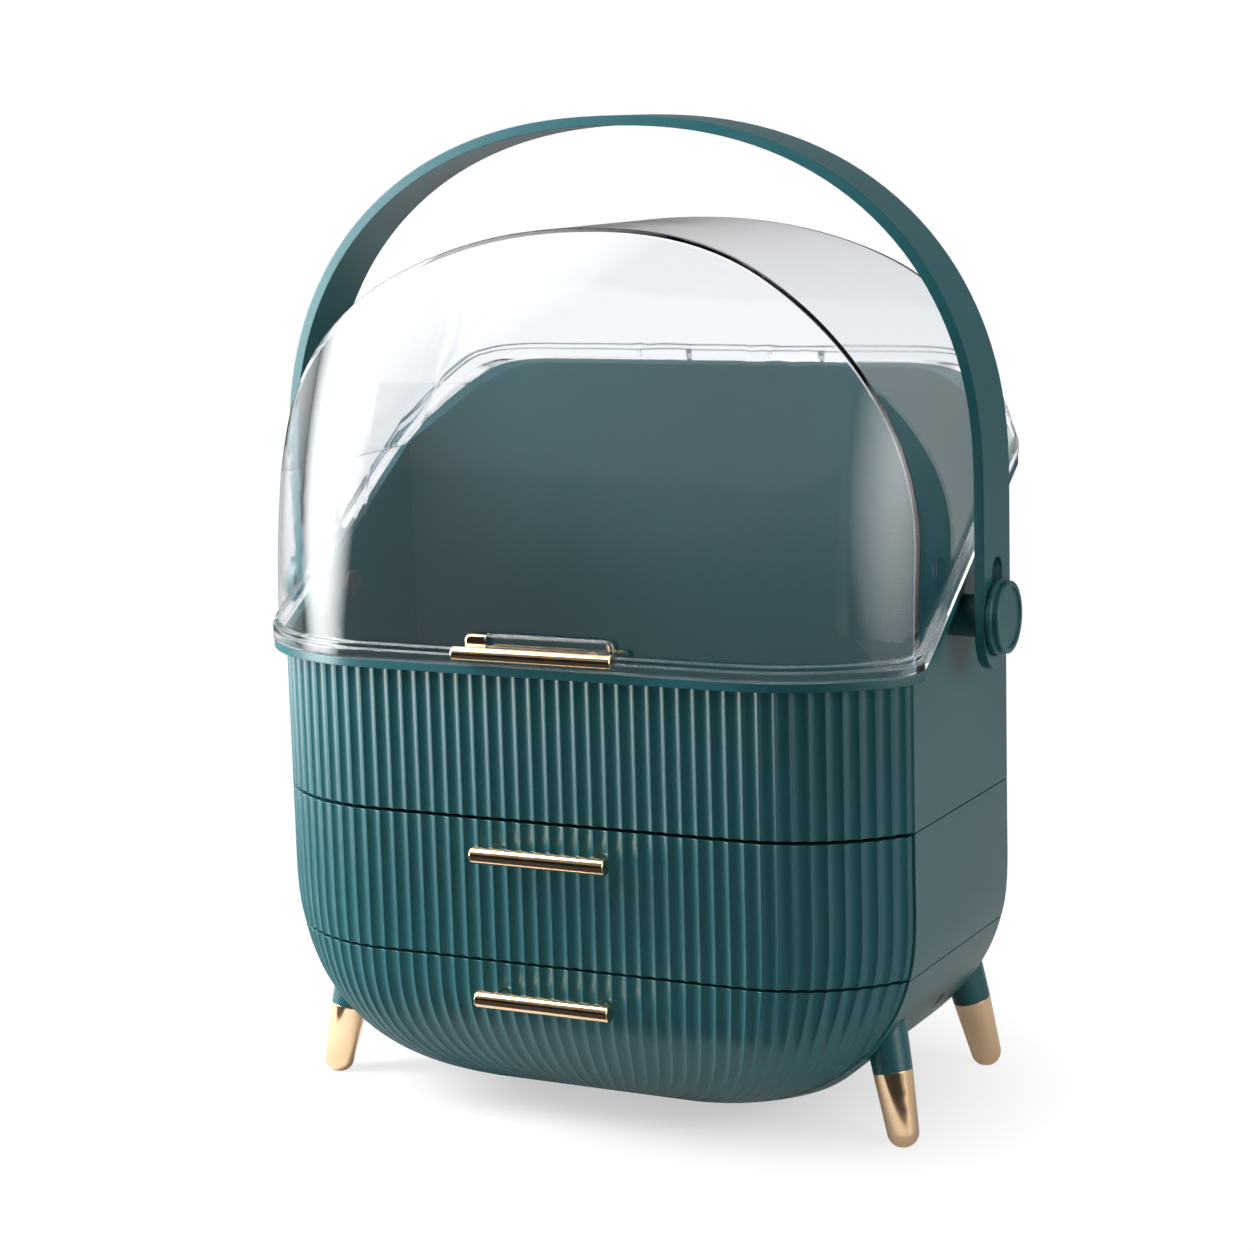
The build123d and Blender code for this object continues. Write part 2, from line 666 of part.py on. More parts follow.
def dome_block(inset, floor_z):
    """The lid's form as a solid: an arch seen from the front, trimmed by its leaning front and back."""
    wide = DOME_HALF_WIDTH - inset
    rise = DOME_RISE - inset
    spring = UPPER_SEAM_Z + DOME_SPRING_Z
    points = []
    steps = 16
    for step in range(steps + 1):
        turn = pi * step / steps
        along = abs(cos(turn)) ** (2 / DOME_POWER)
        up = abs(sin(turn)) ** (2 / DOME_POWER)
        points.append(Vector(wide * along * (1 if step <= steps / 2 else -1), 0, spring + rise * up))
    arch = Spline(*points, tangents=(Vector(0, 0, 1), Vector(0, 0, -1)))
    base = Polyline(points[-1], Vector(-wide, 0, floor_z), Vector(wide, 0, floor_z), points[0])
    arch_face = make_face([*arch.edges(), *base.edges()])
    body = extrude(arch_face, amount=HALF_DEPTH + 20, dir=(0, 1, 0), both=True)
    lean_z = UPPER_SEAM_Z + DOME_LEAN_START
    back_z = UPPER_SEAM_Z + DOME_BACK_START
    plan = extrude(dome_plan(floor_z - 1, inset), amount=lean_z - floor_z + 1, dir=(0, 0, 1))
    for low, high in ((lean_z, back_z), (back_z, UPPER_SEAM_Z + DOME_TOP_Z + 4)):
        heights = [low + (high - low) * level / DOME_LEVELS for level in range(DOME_LEVELS + 1)]
        plan += loft([dome_plan(z, inset) for z in heights])
    return body & plan


def finger_tab():
    """The rounded finger tab on the front of the lid, above its bar."""
    front_y = -HALF_DEPTH - LID_OUTSET
    low = UPPER_SEAM_Z + RIM_FRONT_Z + BEAD_TOP - 1
    form = block(-TAB_HALF_LENGTH, TAB_HALF_LENGTH, front_y - TAB_THICK, front_y + 1,
                 low, UPPER_SEAM_Z + TAB_TOP_Z)
    form = fillet(form.edges().filter_by(Axis.Y).group_by(Axis.Z)[-1], TAB_CORNER)
    return fillet(form.faces().sort_by(Axis.Y)[0].edges(), TAB_EDGE)


def capped_end():
    """The room of the cap over the left end of the finger tab."""
    low = UPPER_SEAM_Z + RIM_FRONT_Z + BAND_TOP
    return block(-FAR, TAB_CAP_LENGTH - TAB_HALF_LENGTH, -FAR, -HALF_DEPTH - LID_OUTSET, low, FAR)


def tab_cap():
    """The metal cap over the left end of the finger tab."""
    cap = finger_tab() & capped_end()
    return drill(cap, UPPER_SEAM_Z + LID_BAR_Z, SCREW_RADIUS + RUNNING_GAP)


def lid_shell():
    """The clear lid: dome, bead and band along the rim, finger tab and hinge knuckles."""
    floor_z = UPPER_SEAM_Z + RIM_FRONT_Z - 10
    dome = dome_block(0, floor_z) & above_rim(BEAD_TOP - 1)
    bead = rim_ring(LID_SEAT_GAP, BEAD_TOP, BEAD_OVERHANG)
    band = rim_ring(BEAD_TOP, BAND_TOP, BAND_OVERHANG)
    lid = dome + bead + band
    lid += finger_tab() - capped_end()
    for x_min, x_max in lid_spans():
        lid += hinge_knuckle(x_min, x_max, True)
    lid -= dome_block(LID_WALL, floor_z)
    z = UPPER_SEAM_Z + LID_BAR_Z
    return spot_faces(drill(lid, z, SCREW_RADIUS), z, lid_seat())


def lid_seat():
    """Where the heads of the lid bar's screws bear on the inside of the lid."""
    return -HALF_DEPTH - LID_OUTSET + LID_WALL - SPOT_DEPTH


def lid_bar():
    """The bar on the front of the lid and its screws."""
    z = UPPER_SEAM_Z + LID_BAR_Z
    tab_face = -HALF_DEPTH - LID_OUTSET - TAB_THICK
    pull = pull_bar(z, LID_BAR_RADIUS, LID_BAR_HALF_LENGTH, tab_face)
    return pull, bar_screws(z, lid_seat())


def finished_tray(box, bar_z, inset):
    """A tray drilled for its bar's screws, and the screws."""
    seat = -HALF_DEPTH + inset + TRAY_WALL - SPOT_DEPTH
    box = spot_faces(drill(box, bar_z, SCREW_RADIUS), bar_z, seat)
    return box, bar_screws(bar_z, seat)


def hinge_pin():
    """The steel pin through all the knuckles."""
    return rod((-HINGE_HALF_LENGTH, HINGE_Y, HINGE_Z), (HINGE_HALF_LENGTH, HINGE_Y, HINGE_Z), HINGE_PIN_RADIUS)


def handle_arch(grow):
    """The handle's arch seen from the front, grown outwards by grow."""
    wide = HANDLE_HALF_WIDTH + grow
    rise = HANDLE_RISE + grow
    spring = UPPER_SEAM_Z + HANDLE_SPRING_Z
    low = UPPER_SEAM_Z + HANDLE_FOOT_Z - 5
    straight = [spring - HANDLE_RUN_IN * share for share in (2, 1)]
    points = [Vector(wide, 0, z) for z in straight]
    steps = 16
    for step in range(steps + 1):
        turn = pi * step / steps
        along = abs(cos(turn)) ** (2 / HANDLE_POWER)
        up = abs(sin(turn)) ** (2 / HANDLE_POWER)
        points.append(Vector(wide * along * (1 if step <= steps / 2 else -1), 0, spring + rise * up))
    points += [Vector(-wide, 0, z) for z in reversed(straight)]
    arch = Spline(*points)
    base = Polyline(points[-1], Vector(-wide, 0, low), Vector(wide, 0, low), points[0])
    face = make_face([*arch.edges(), *base.edges()])
    return extrude(Pos(0, PIVOT_Y, 0) * face, amount=HANDLE_STRAP / 2, dir=(0, 1, 0), both=True)


def slot_shape(radius, low_z, high_z, x_min, x_max):
    """A round-ended slot along Z, cut through in X."""
    body = rod((x_min, PIVOT_Y, low_z), (x_max, PIVOT_Y, low_z), radius)
    body += rod((x_min, PIVOT_Y, high_z), (x_max, PIVOT_Y, high_z), radius)
    return body + block(x_min, x_max, PIVOT_Y - radius, PIVOT_Y + radius, low_z, high_z)


def carry_handle():
    """The arched strap with a rounded end and a slot on each side."""
    half_strap = HANDLE_STRAP / 2
    reach = HANDLE_HALF_WIDTH + 5
    top = UPPER_SEAM_Z + HANDLE_SPRING_Z + HANDLE_RISE + 5
    outline = slot_shape(half_strap, UPPER_SEAM_Z + HANDLE_FOOT_Z + half_strap, top, -reach, reach)
    strap = (handle_arch(0) - handle_arch(-HANDLE_THICK)) & outline
    low = pivot_height()
    slot = slot_shape(PIVOT_PIN_RADIUS + PIVOT_SLOT_GAP, low, low + HANDLE_DROP, -reach, reach)
    return strap - slot


def pivot_line(side, near, far, radius):
    """A rod on the handle's pivot axis, between two distances from the middle."""
    z = pivot_height()
    return rod((side * near, PIVOT_Y, z), (side * far, PIVOT_Y, z), radius)


def pivot_button(side):
    """A stepped round button with a dished face, the pin that runs in the handle's slot and its shank."""
    inner = HANDLE_HALF_WIDTH - HANDLE_THICK - SIDE_GAP + END_PLAY
    face = HANDLE_HALF_WIDTH + SIDE_GAP
    outer = face + BUTTON_THICK
    button = fillet(pivot_line(side, face, face + BUTTON_BASE, BUTTON_RADIUS).edges(), BUTTON_EDGE)
    button += fillet(pivot_line(side, face, outer, BUTTON_CAP_RADIUS).edges(), BUTTON_EDGE)
    button -= pivot_line(side, outer - BUTTON_DISH, outer + 1, BUTTON_CAP_RADIUS - BUTTON_RING)
    button += pivot_line(side, inner, face + BUTTON_BASE / 2, PIVOT_PIN_RADIUS)
    button += pivot_line(side, pivot_screw_seat(), inner, PIVOT_SHANK_RADIUS)
    return button - pivot_line(side, pivot_screw_seat() - 1, HANDLE_HALF_WIDTH, SCREW_RADIUS)


def pivot_boss(side):
    """The round spacer between the bin and the handle."""
    far = HANDLE_HALF_WIDTH - HANDLE_THICK - SIDE_GAP
    body = pivot_line(side, HALF_WIDTH, far, BOSS_RADIUS)
    return body - pivot_line(side, HALF_WIDTH - 1, far + 1, PIVOT_SHANK_RADIUS + RUNNING_GAP)


def pivot_screw_seat():
    """How far from the middle a pivot's shank ends, just inside the bin's wall."""
    return HALF_WIDTH - WALL - END_PLAY


def pivot_screw(side):
    """The screw inside the bin that keeps a button's shank in its boss."""
    seat = pivot_screw_seat()
    head = pivot_line(side, seat - SCREW_HEAD_THICK, seat, PIVOT_HEAD_RADIUS)
    return head + pivot_line(side, seat, HANDLE_HALF_WIDTH, SCREW_RADIUS)


def leg_feet():
    """Each leg's foot on the ground and the direction of its axis, by place."""
    feet = {}
    for side, side_name in ((-1, "left"), (1, "right")):
        places = (("front", LEG_FRONT, LEG_FRONT_SPLAY), ("rear", LEG_BACK, -LEG_BACK_SPLAY))
        for end_name, (foot_x, foot_y), lean in places:
            direction = Vector(-side * LEG_SPLAY_X, lean, 1).normalized()
            feet[f"{end_name}_{side_name}"] = (Vector(side * foot_x, foot_y, 0), direction)
    return feet


def leg(foot, direction, bowl_form):
    """The tapered upper part of a leg, shaped to the bowl that it is screwed to."""
    start = foot + direction * FERRULE_LENGTH
    body = rod(start, foot + direction * LEG_LENGTH, LEG_JOINT_RADIUS, LEG_TOP_RADIUS)
    return body - bowl_form - leg_stud(foot, direction)


def ferrule(foot, direction):
    """The metal end of a leg, a cone with a round end that is cut flat where it stands."""
    centre = foot + direction * (LEG_END_RADIUS - FOOT_FLAT)
    body = rod(centre, foot + direction * FERRULE_LENGTH, LEG_END_RADIUS, LEG_JOINT_RADIUS)
    body += Pos(centre.X, centre.Y, centre.Z) * Sphere(LEG_END_RADIUS)
    body -= block(-FAR, FAR, -FAR, FAR, -FAR, 0)
    return body - leg_stud(foot, direction)


def leg_stud(foot, direction):
    """The threaded stud that joins a leg to the bowl."""
    start = foot + direction * (FERRULE_LENGTH - STUD_BITE)
    return rod(start, foot + direction * STUD_TOP, STUD_RADIUS)


def upper_drawer():
    """The upper drawer's front, tray, bar and screws."""
    top = UPPER_SEAM_Z - FRONT_GAP
    bottom = LOWER_SEAM_Z + SEAM_GAP
    bar_z = UPPER_SEAM_Z - BAR_BELOW_SEAM
    outer = middle(bottom, top, fluted=True)
    inner = middle(bottom - 1, top + 1, FRONT_THICK)
    front = drill(front_panel(outer, inner), bar_z, SCREW_RADIUS)
    floor_z = LOWER_SEAM_Z + WALL + SLIDE_GAP
    tray_inset = FRONT_THICK + TRAY_GAP
    box = tray(middle(bottom, UPPER_SEAM_Z, tray_inset), middle(bottom, UPPER_SEAM_Z, tray_inset + TRAY_WALL),
               TRAY_HALF_WIDTH, floor_z, UPPER_SEAM_Z - TRAY_TOP_DROP)
    box, screws = finished_tray(box, bar_z, tray_inset)
    pull = pull_bar(bar_z, BAR_RADIUS, BAR_HALF_LENGTH, -HALF_DEPTH + POST_SINK)
    return front - bar_sockets(bar_z), box, pull, screws


def lower_casing():
    """The bowl's sides, back and bottom, with rails that carry the lower tray."""
    top = LOWER_SEAM_Z - SEAM_GAP
    casing = behind_fronts(bowl(top))
    casing -= bowl(top + 1, WALL)
    inside = bowl(top, WALL / 2)
    floor_z = lower_tray_floor() - SLIDE_GAP
    for side in (-1, 1):
        x_min, x_max = sorted((side * LOWER_RAIL_X, side * (LOWER_RAIL_X + RAIL_THICK)))
        rail = block(x_min, x_max, -CREASE_Y + 2, TRAY_BACK_Y, BOWL_BOTTOM_Z + 1, floor_z)
        casing += rail & inside
    for post in joint_posts(LOWER_JOINT, BOWL_BOTTOM_Z, LOWER_SEAM_Z):
        casing += post & inside
    for bore in joint_bores(LOWER_JOINT, BOWL_BOTTOM_Z - 1, LOWER_SEAM_Z):
        casing -= bore
    for foot in leg_feet().values():
        casing -= leg_stud(*foot)
    return casing


def lower_tray_floor():
    """Height of the underside of the lower tray."""
    return LOWER_SEAM_Z - TRAY_TOP_DROP - LOWER_TRAY_DEPTH


def lower_drawer():
    """The lower drawer's front, tray, bar and screws."""
    top = LOWER_SEAM_Z - FRONT_GAP / 2
    bar_z = LOWER_SEAM_Z - BAR_BELOW_SEAM
    front = front_panel(bowl(top, fluted=True), bowl(top + 1, FRONT_THICK))
    front = drill(front, bar_z, SCREW_RADIUS)
    floor_z = lower_tray_floor()
    inner = bowl(LOWER_SEAM_Z, LOWER_TRAY_INSET + TRAY_WALL)
    box = tray(bowl(LOWER_SEAM_Z, LOWER_TRAY_INSET), inner, LOWER_TRAY_HALF_WIDTH, floor_z,
               LOWER_SEAM_Z - TRAY_TOP_DROP)
    for x in (-POST_SPACING / 2, POST_SPACING / 2):
        pad_end = -HALF_DEPTH + LOWER_TRAY_INSET + TRAY_WALL / 2
        box += rod((x, -HALF_DEPTH + FRONT_THICK + PAD_GAP, bar_z), (x, pad_end, bar_z), TRAY_PAD_RADIUS)
    box, screws = finished_tray(box, bar_z, LOWER_TRAY_INSET)
    pull = pull_bar(bar_z, BAR_RADIUS, BAR_HALF_LENGTH, -HALF_DEPTH + POST_SINK)
    return front - bar_sockets(bar_z), box, pull, screws


def main():
    """Build and write every piece."""
    os.makedirs("parts", exist_ok=True)
    save("bin_casing", bin_casing())
    save("middle_casing", middle_casing())
    save("bowl_casing", lower_casing())
    save("casing_screws_upper", *joint_screws(UPPER_JOINT, UPPER_SEAM_Z))
    save("casing_screws_lower", *joint_screws(LOWER_JOINT, LOWER_SEAM_Z))

    for name, pieces in (("upper", upper_drawer()), ("lower", lower_drawer())):
        front, box, pull, screws = pieces
        save(f"{name}_drawer_front", front)
        save(f"{name}_drawer_tray", box)
        save(f"{name}_drawer_bar", pull)
        save(f"{name}_bar_screws", *screws)

    save("lid_shell", lid_shell())
    pull, screws = lid_bar()
    save("lid_bar", pull)
    save("lid_bar_screws", *screws)
    save("tab_cap", tab_cap())
    save("hinge_pin", hinge_pin())

    save("carry_handle", carry_handle())
    for name, side in (("left", -1), ("right", 1)):
        save(f"pivot_button_{name}", pivot_button(side))
        save(f"pivot_boss_{name}", pivot_boss(side))
        save(f"pivot_screw_{name}", pivot_screw(side))

    bowl_form = bowl(LOWER_SEAM_Z - SEAM_GAP)
    for place, foot in leg_feet().items():
        save(f"leg_{place}", leg(*foot, bowl_form))
        save(f"ferrule_{place}", ferrule(*foot))
    save("leg_studs", *[leg_stud(*foot) for foot in leg_feet().values()])


if __name__ == "__main__":
    main()
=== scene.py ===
# %% [markdown]
# # A cosmetic organizer box
#
# The real object is a case on four legs: an open bin under a clear hinged lid, two drawers with
# fluted fronts, and an arched carry handle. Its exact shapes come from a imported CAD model, which
# is loaded here as a fixed frame. Blender's part of the work is the look: finishes, light, camera
# and the details that moulded plastic and plated metal show close up.

# %% Load the fixed frame
import json
import math

import bpy
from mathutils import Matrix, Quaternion, Vector

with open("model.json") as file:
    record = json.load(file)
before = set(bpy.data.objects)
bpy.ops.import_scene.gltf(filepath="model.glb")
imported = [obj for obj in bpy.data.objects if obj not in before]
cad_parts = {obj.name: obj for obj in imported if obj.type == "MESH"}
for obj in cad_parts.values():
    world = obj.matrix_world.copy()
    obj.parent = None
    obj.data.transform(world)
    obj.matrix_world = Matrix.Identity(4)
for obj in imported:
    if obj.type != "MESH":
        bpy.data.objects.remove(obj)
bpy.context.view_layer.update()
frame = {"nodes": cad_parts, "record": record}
nodes = frame["nodes"]

# %% [markdown]
# ## The camera
#
# The photograph looks down a little on the case from its right side. A long lens flattens the
# perspective. The camera is aimed at a point near the middle of the case and then rolled by a
# small angle about its own line of sight, because the picture leans slightly.

# %% Camera
CAMERA_PLACE = Vector((0.59275, -1.1848, 0.4308))
CAMERA_TARGET = Vector((-0.01309, 0.0107, 0.2037))
CAMERA_ROLL = math.radians(-1.58)
LENS_LENGTH = 87.23
SENSOR_WIDTH = 36
VIEW_DEPTH = 50

camera_data = bpy.data.cameras.new("camera")
camera_data.lens = LENS_LENGTH
camera_data.sensor_width = SENSOR_WIDTH
camera_data.clip_end = VIEW_DEPTH
camera = bpy.data.objects.new("camera", camera_data)
aim = (CAMERA_TARGET - CAMERA_PLACE).to_track_quat("-Z", "Y")
camera.rotation_mode = "QUATERNION"
camera.location = CAMERA_PLACE
camera.rotation_quaternion = aim @ Quaternion((0, 0, 1), CAMERA_ROLL)
bpy.context.scene.collection.objects.link(camera)
bpy.context.scene.camera = camera
bpy.context.scene.view_settings.view_transform = "Standard"
print("camera stands", round((CAMERA_PLACE - CAMERA_TARGET).length, 2), "m away")

# %% [markdown]
# ## Finishes
#
# Each finish is a small node tree on Blender's Principled shader. Image textures would need
# unwrapped meshes, so the variation comes from noise instead. Noise is measured in the object's
# own metres, so a grain has the same size on every piece.

# %% A helper for finishes
def new_finish(name):
    """An empty material with a Principled shader, and handy access to its node tree."""
    finish = bpy.data.materials.new(name)
    finish.use_nodes = True
    tree = finish.node_tree
    return finish, tree, tree.nodes["Principled BSDF"]


def grey(value):
    """A value as an opaque grey."""
    return (value, value, value, 1)


print("middle grey is", grey(0.5))

# %% [markdown]
# Noise gives a value between zero and one at each point, mostly near the middle. A ramp turns
# that value into a colour, or into a roughness, between a low and a high end.

# %% Helpers for noise and ramps
def add_noise(tree, scale, detail=3.0, roughness=0.5):
    """Noise over the object's own coordinates, with features of about 1 / scale metres."""
    place = tree.nodes.new("ShaderNodeTexCoord")
    noise = tree.nodes.new("ShaderNodeTexNoise")
    noise.inputs["Scale"].default_value = scale
    noise.inputs["Detail"].default_value = detail
    noise.inputs["Roughness"].default_value = roughness
    tree.links.new(place.outputs["Object"], noise.inputs["Vector"])
    return noise.outputs["Fac"]


def add_ramp(tree, source, low, high, start=0.35, end=0.65):
    """A colour ramp between two values or colours."""
    ramp = tree.nodes.new("ShaderNodeValToRGB")
    ramp.color_ramp.elements[0].position = start
    ramp.color_ramp.elements[1].position = end
    ramp.color_ramp.elements[0].color = low
    ramp.color_ramp.elements[1].color = high
    tree.links.new(source, ramp.inputs["Fac"])
    return ramp.outputs["Color"]


print("a noise of scale 500 has features of about", 1000 / 500, "mm")

# %% [markdown]
# A bump changes how a surface catches the light without moving it. No real moulded edge is
# sharp, so the bump starts from normals that are rounded over each edge.

# %% A helper for bumps
EDGE_SAMPLES = 6


def add_bump(tree, shader, source, strength, depth, edge):
    """Bump the surface by a noise, over edges softened by a radius in metres."""
    bump = tree.nodes.new("ShaderNodeBump")
    bump.inputs["Strength"].default_value = strength
    bump.inputs["Distance"].default_value = depth
    tree.links.new(source, bump.inputs["Height"])
    soften = tree.nodes.new("ShaderNodeBevel")
    soften.samples = EDGE_SAMPLES
    soften.inputs["Radius"].default_value = edge
    tree.links.new(soften.outputs["Normal"], bump.inputs["Normal"])
    tree.links.new(bump.outputs["Normal"], shader.inputs["Normal"])


print("edges are softened with", EDGE_SAMPLES, "samples")

# %% [markdown]
# ### Teal plastic
#
# The case is moulded in a deep teal plastic with a satin skin. Moulded plastic is never quite
# even: its colour drifts a little over large areas and its skin has a very fine grain that
# breaks up reflections. The trays are the same plastic, a little darker and more matt.

# %% Teal plastic
TEAL_DARK = (0.0068, 0.058, 0.067, 1)
TEAL_LIGHT = (0.0082, 0.067, 0.078, 1)
TRAY_DARK = (0.006, 0.050, 0.058, 1)
TRAY_LIGHT = (0.007, 0.057, 0.066, 1)
GLOSS_DRIFT = 0.02
PLASTIC_IOR = 1.5
PLASTIC_SHINE = 0.42
GRAIN_SCALE = 1500
GRAIN_STRENGTH = 0.01
SKIN_DEPTH = 0.0001


def teal_finish(name, dark, light, gloss, edge):
    """Satin plastic with slow colour drift and a fine skin."""
    finish, tree, shader = new_finish(name)
    drift = add_noise(tree, 7, 1)
    tree.links.new(add_ramp(tree, drift, dark, light), shader.inputs["Base Color"])
    wear = add_noise(tree, 25, 2)
    hazes = add_ramp(tree, wear, grey(gloss - GLOSS_DRIFT), grey(gloss + GLOSS_DRIFT))
    tree.links.new(hazes, shader.inputs["Roughness"])
    shader.inputs["IOR"].default_value = PLASTIC_IOR
    shader.inputs["Specular IOR Level"].default_value = PLASTIC_SHINE
    add_bump(tree, shader, add_noise(tree, GRAIN_SCALE, 1), GRAIN_STRENGTH, SKIN_DEPTH, edge)
    return finish


teal_plastic = teal_finish("teal_plastic", TEAL_DARK, TEAL_LIGHT, 0.3, 0.0005)
tray_plastic = teal_finish("tray_plastic", TRAY_DARK, TRAY_LIGHT, 0.5, 0.0004)
print("teal finishes:", teal_plastic.name, tray_plastic.name)

# %% [markdown]
# ### Clear acrylic
#
# The lid is clear acrylic about two millimetres thick. It is a solid with two skins, so light
# bends on its way in and out, and the edges look bright and dark by turns. Each pass through a
# skin tints it a little blue, which shows at the beads where light passes many. Very slow
# ripples in the normal stand for the flow of the moulding. For shadows each skin counts as a
# plain grey filter, so that the lamps light the bin through the lid.

# %% Clear acrylic
ACRYLIC_DARK = (0.955, 0.972, 0.995, 1)
ACRYLIC_LIGHT = (0.965, 0.978, 1.0, 1)
ACRYLIC_IOR = 1.46
RIPPLE_STRENGTH = 0.015
RIPPLE_DEPTH = 0.002
ACRYLIC_EDGE = 0.0015
SHADOW_PASS = 0.68


def acrylic_finish(name):
    """Clear moulded acrylic with slow ripples."""
    finish, tree, shader = new_finish(name)
    shader.inputs["Transmission Weight"].default_value = 1.0
    shader.inputs["IOR"].default_value = ACRYLIC_IOR
    shader.inputs["Roughness"].default_value = 0.0
    tint = add_ramp(tree, add_noise(tree, 6, 1), ACRYLIC_DARK, ACRYLIC_LIGHT)
    tree.links.new(tint, shader.inputs["Base Color"])
    add_bump(tree, shader, add_noise(tree, 14, 1), RIPPLE_STRENGTH, RIPPLE_DEPTH, ACRYLIC_EDGE)
    rays = tree.nodes.new("ShaderNodeLightPath")
    shade = tree.nodes.new("ShaderNodeBsdfTransparent")
    shade.inputs["Color"].default_value = grey(SHADOW_PASS)
    mix = tree.nodes.new("ShaderNodeMixShader")
    tree.links.new(rays.outputs["Is Shadow Ray"], mix.inputs["Fac"])
    tree.links.new(shader.outputs[0], mix.inputs[1])
    tree.links.new(shade.outputs[0], mix.inputs[2])
    tree.links.new(mix.outputs[0], tree.nodes["Material Output"].inputs["Surface"])
    return finish


clear_acrylic = acrylic_finish("clear_acrylic")
print("clear finish:", clear_acrylic.name)

# %% [markdown]
# ### Rose gold plating and steel
#
# The bars and the ends of the legs are plated: a polished metal of a warm pinkish gold. Plating
# is almost a mirror, so its look comes from what it reflects. A faint haze in the roughness
# keeps the reflections from looking computed. The screws and pins inside are plain steel.

# %% Plated and plain metal
GOLD_DARK = (0.85, 0.58, 0.35, 1)
GOLD_LIGHT = (0.90, 0.64, 0.41, 1)
STEEL_DARK = (0.52, 0.52, 0.53, 1)
STEEL_LIGHT = (0.6, 0.6, 0.6, 1)
HAZE_DRIFT = 0.06
METAL_BUMP = 0.02


def metal_finish(name, dark, light, gloss, edge):
    """A metal with slight haze and colour drift."""
    finish, tree, shader = new_finish(name)
    shader.inputs["Metallic"].default_value = 1.0
    drift = add_noise(tree, 40, 3)
    tree.links.new(add_ramp(tree, drift, dark, light), shader.inputs["Base Color"])
    haze = add_noise(tree, 220, 5)
    hazes = add_ramp(tree, haze, grey(gloss), grey(gloss + HAZE_DRIFT))
    tree.links.new(hazes, shader.inputs["Roughness"])
    add_bump(tree, shader, add_noise(tree, 500, 2), METAL_BUMP, SKIN_DEPTH, edge)
    return finish


rose_gold = metal_finish("rose_gold", GOLD_DARK, GOLD_LIGHT, 0.08, 0.0004)
plain_steel = metal_finish("plain_steel", STEEL_DARK, STEEL_LIGHT, 0.28, 0.0002)
print("metal finishes:", rose_gold.name, plain_steel.name)

# %% [markdown]
# ## Dressing the CAD pieces
#
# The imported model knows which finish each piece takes. Its meshes are made of flat facets, so
# each piece is shaded smooth and only edges sharper than a limit stay crisp.

# %% Give each CAD piece its finish
FINISHES = {
    "teal_plastic": teal_plastic,
    "tray_plastic": tray_plastic,
    "clear_plastic": clear_acrylic,
    "gold_metal": rose_gold,
    "steel": plain_steel,
}
CRISP_ANGLE = math.radians(28)


def dress(piece, finish):
    """Give a piece one finish and smooth shading with crisp edges."""
    piece.data.materials.clear()
    piece.data.materials.append(finish)
    piece.data.shade_smooth()
    piece.data.set_sharp_from_angle(angle=CRISP_ANGLE)


for part in frame["record"]["subparts"]:
    dress(nodes[part["node"]], FINISHES[part["material_slot"]])

# %% [markdown]
# ## The white ground
#
# The photograph has a white studio ground with a soft shadow. More light would turn the ground
# white, but it would bleach the case as well. So the ground glows instead, and only for some
# rays: fully for the camera and through glass, and less in reflections, because a white room
# alone makes plastic look milky.

# %% How white each kind of ray sees the ground
SHARE_IN_GLOSS = 0.2


def white_share(tree):
    """One for rays from the camera or through glass, less for reflections, otherwise zero."""
    rays = tree.nodes.new("ShaderNodeLightPath")
    gloss = tree.nodes.new("ShaderNodeMath")
    gloss.operation = "MULTIPLY"
    gloss.inputs[1].default_value = SHARE_IN_GLOSS
    tree.links.new(rays.outputs["Is Glossy Ray"], gloss.inputs[0])
    share = gloss.outputs[0]
    for kind in ("Is Camera Ray", "Is Transmission Ray"):
        either = tree.nodes.new("ShaderNodeMath")
        either.operation = "MAXIMUM"
        tree.links.new(share, either.inputs[0])
        tree.links.new(rays.outputs[kind], either.inputs[1])
        share = either.outputs[0]
    return share


print("reflections see", SHARE_IN_GLOSS, "of the white")

# %% [markdown]
# The floor is white paper. Under the case the glow is a small part of its look, so the shadow
# stays, and the weaker glow also paints the paper darker there as shade; farther out the glow
# takes over.

# %% White paper
# Less glow near the case is painted shade: the paper there reads darker even where the lamps reach
# it.
NEAR_GLOW = 0.5
FAR_GLOW = 0.97
GLOW_STARTS = 0.06
GLOW_ENDS = 0.2
GLOW_STRENGTH = 1.05
PAPER_GREY = 0.5


def glow_by_distance(tree):
    """How much of the paper's look is glow, growing with the distance from the case; less glow
    paints shade near it.
    """
    place = tree.nodes.new("ShaderNodeTexCoord")
    length = tree.nodes.new("ShaderNodeVectorMath")
    length.operation = "LENGTH"
    tree.links.new(place.outputs["Object"], length.inputs[0])
    glow = tree.nodes.new("ShaderNodeMapRange")
    glow.inputs["From Min"].default_value = GLOW_STARTS
    glow.inputs["From Max"].default_value = GLOW_ENDS
    glow.inputs["To Min"].default_value = NEAR_GLOW
    glow.inputs["To Max"].default_value = FAR_GLOW
    tree.links.new(length.outputs["Value"], glow.inputs["Value"])
    return glow.outputs["Result"]


def paper_finish(name):
    """White paper that partly glows for the camera, through glass and in gloss."""
    finish, tree, shader = new_finish(name)
    shader.inputs["Base Color"].default_value = grey(PAPER_GREY)
    shader.inputs["Roughness"].default_value = 0.9
    shader.inputs["Specular IOR Level"].default_value = 0.0
    share = tree.nodes.new("ShaderNodeMath")
    share.operation = "MULTIPLY"
    tree.links.new(white_share(tree), share.inputs[0])
    tree.links.new(glow_by_distance(tree), share.inputs[1])
    light = tree.nodes.new("ShaderNodeEmission")
    light.inputs["Strength"].default_value = GLOW_STRENGTH
    mix = tree.nodes.new("ShaderNodeMixShader")
    tree.links.new(share.outputs[0], mix.inputs["Fac"])
    tree.links.new(shader.outputs[0], mix.inputs[1])
    tree.links.new(light.outputs[0], mix.inputs[2])
    tree.links.new(mix.outputs[0], tree.nodes["Material Output"].inputs["Surface"])
    return finish


